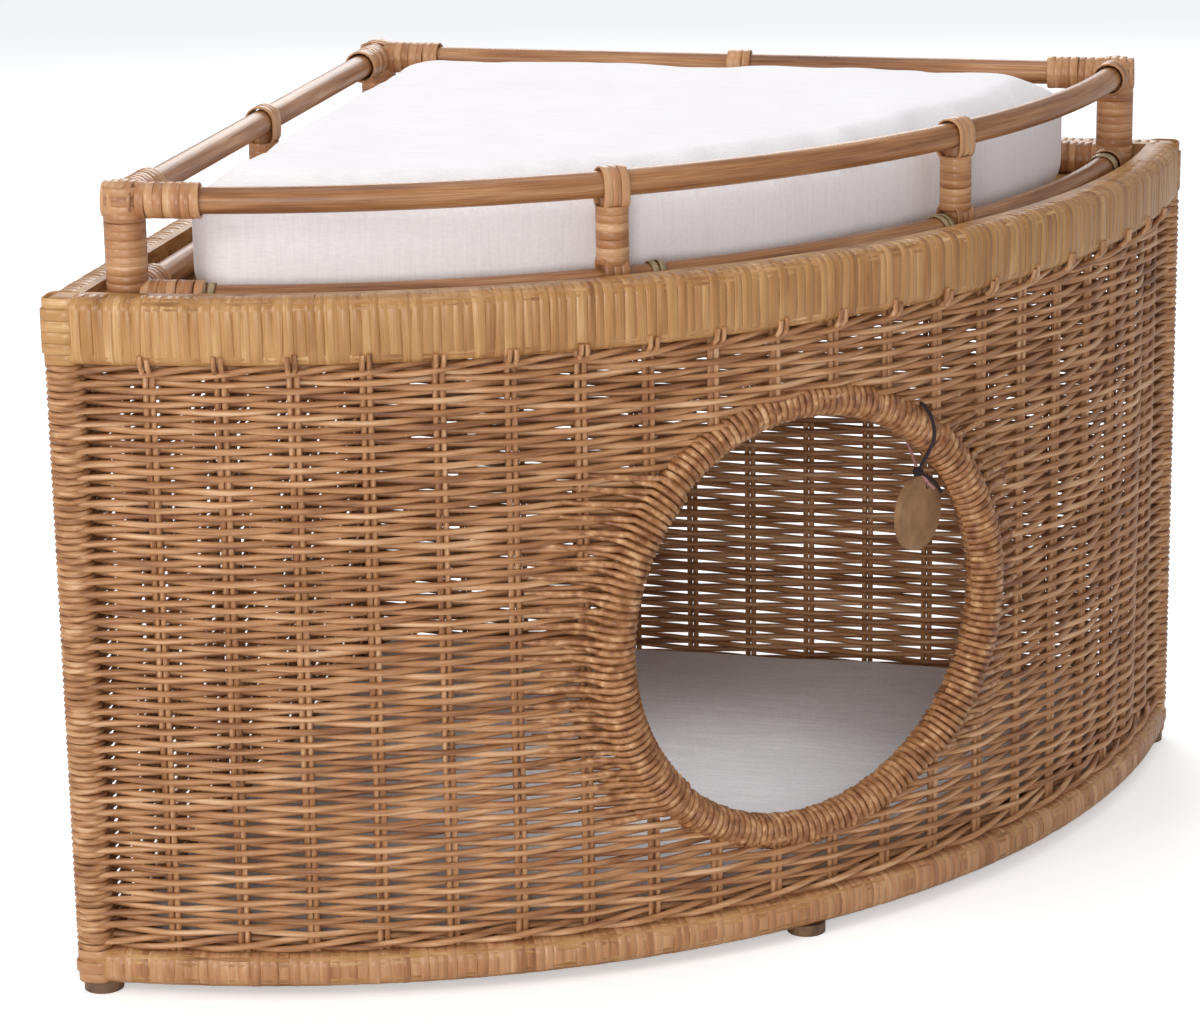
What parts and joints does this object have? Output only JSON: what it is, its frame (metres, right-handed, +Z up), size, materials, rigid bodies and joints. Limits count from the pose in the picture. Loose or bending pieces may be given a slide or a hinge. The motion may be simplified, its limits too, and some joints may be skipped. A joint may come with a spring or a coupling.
{
  "type": "wicker pet bed house",
  "caption": "Quarter-round wicker pet house for a room corner, with a round wrapped doorway in its curved front, a mat inside and a railed deck with a loose cushion on top.",
  "frame": {"origin": "centre of the bounding box at floor level", "axes": "+Z up; the straight walls face -X and +Y and meet at the back corner; the curved front faces +X -Y"},
  "size_m": [0.6011, 0.6011, 0.4924],
  "materials": {
    "foot": "dark turned foot",
    "pole": "bare rattan pole",
    "rail": "bare rattan pole, brown, oiled",
    "peel": "flat rattan peel, satin",
    "binding": "flat rattan peel, satin",
    "stake": "round willow stake",
    "weave": "round wicker weavers, satin",
    "ring_reed": "round reed, satin",
    "panel": "plain board",
    "cotton": "plain woven cotton",
    "filling": "fibre filling",
    "mat": "plain woven cotton",
    "tag": "pale kraft board, matt",
    "lace": "suede lace"
  },
  "bodies": {
    "house": {"base_pole_back": "pole", "base_pole_front": "pole", "base_pole_left": "pole", "base_wrap": "peel", "binding_back": "binding", "binding_left": "binding", "binding_right": "binding", "deck_bearers": "pole", "deck_panel": "panel", "door_core": "pole", "door_wrap": "ring_reed", "floor_bearers": "pole", "floor_panel": "panel", "foot_back": "foot", "foot_front": "foot", "foot_left": "foot", "foot_right": "foot", "mid_post_back": "rail", "mid_post_front_a": "rail", "mid_post_front_b": "rail", "mid_post_left": "rail", "mid_wraps": "binding", "post_back": "pole", "post_left": "pole", "post_right": "pole", "rail_lower_back": "rail", "rail_lower_front": "rail", "rail_lower_left": "rail", "rail_post_back": "rail", "rail_post_left": "rail", "rail_post_right": "rail", "rail_upper_back": "rail", "rail_upper_front": "rail", "rail_upper_left": "rail", "rim_lower_back": "pole", "rim_lower_front": "pole", "rim_lower_left": "pole", "rim_upper_back": "pole", "rim_upper_front": "pole", "rim_upper_left": "pole", "rim_wrap": "peel", "sleeve_back": "weave", "sleeve_left": "weave", "sleeve_right": "weave", "stakes_back": "stake", "stakes_front": "stake", "stakes_left": "stake", "wale_base": "weave", "wale_top": "weave", "weave_back": "weave", "weave_front": "weave", "weave_left": "weave"},
    "cushion": {"cushion_cover": "cotton", "cushion_filling": "filling"},
    "mat": {"den_mat": "mat"},
    "tag": {"tag_disc": "tag", "tag_lace": "lace"}
  },
  "joints": [
    {"name": "cushion_lift", "type": "slide", "parent": "house", "child": "cushion", "axis": [0, 0, 1], "range_m": [0, 0.1]},
    {"name": "mat_lift", "type": "slide", "parent": "house", "child": "mat", "axis": [0, 0, 1], "range_m": [0, 0.3]},
    {"name": "tag_swing", "type": "hinge", "parent": "house", "child": "tag", "pos_m": [0.17391, -0.05199, 0.31157], "axis": [0.7071, 0.7071, 0], "range_deg": [-60, 60]}
  ]
}
